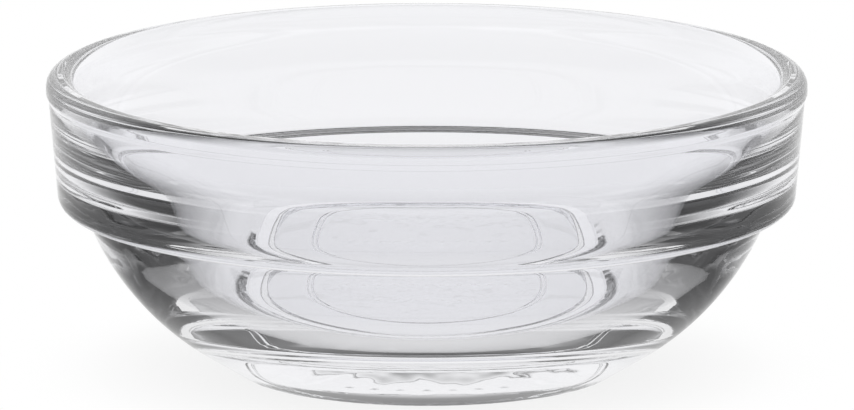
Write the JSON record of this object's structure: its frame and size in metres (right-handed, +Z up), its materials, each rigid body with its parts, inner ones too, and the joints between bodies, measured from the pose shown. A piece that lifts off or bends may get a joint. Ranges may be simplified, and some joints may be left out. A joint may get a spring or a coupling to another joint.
{
  "type": "prep bowl",
  "caption": "Small stackable prep bowl in clear pressed glass, with a beaded rim, an upper band, a stacking ledge and a curved lower body on a small foot.",
  "frame": {"origin": "on the table under the middle of the foot", "axes": "+Z up along the axis the bowl is turned about; every direction across it is alike"},
  "size_m": [0.06, 0.06, 0.0236],
  "materials": {
    "glass": "clear pressed glass, fire polished"
  },
  "bodies": {
    "root": {"bowl": "glass"}
  },
  "joints": []
}
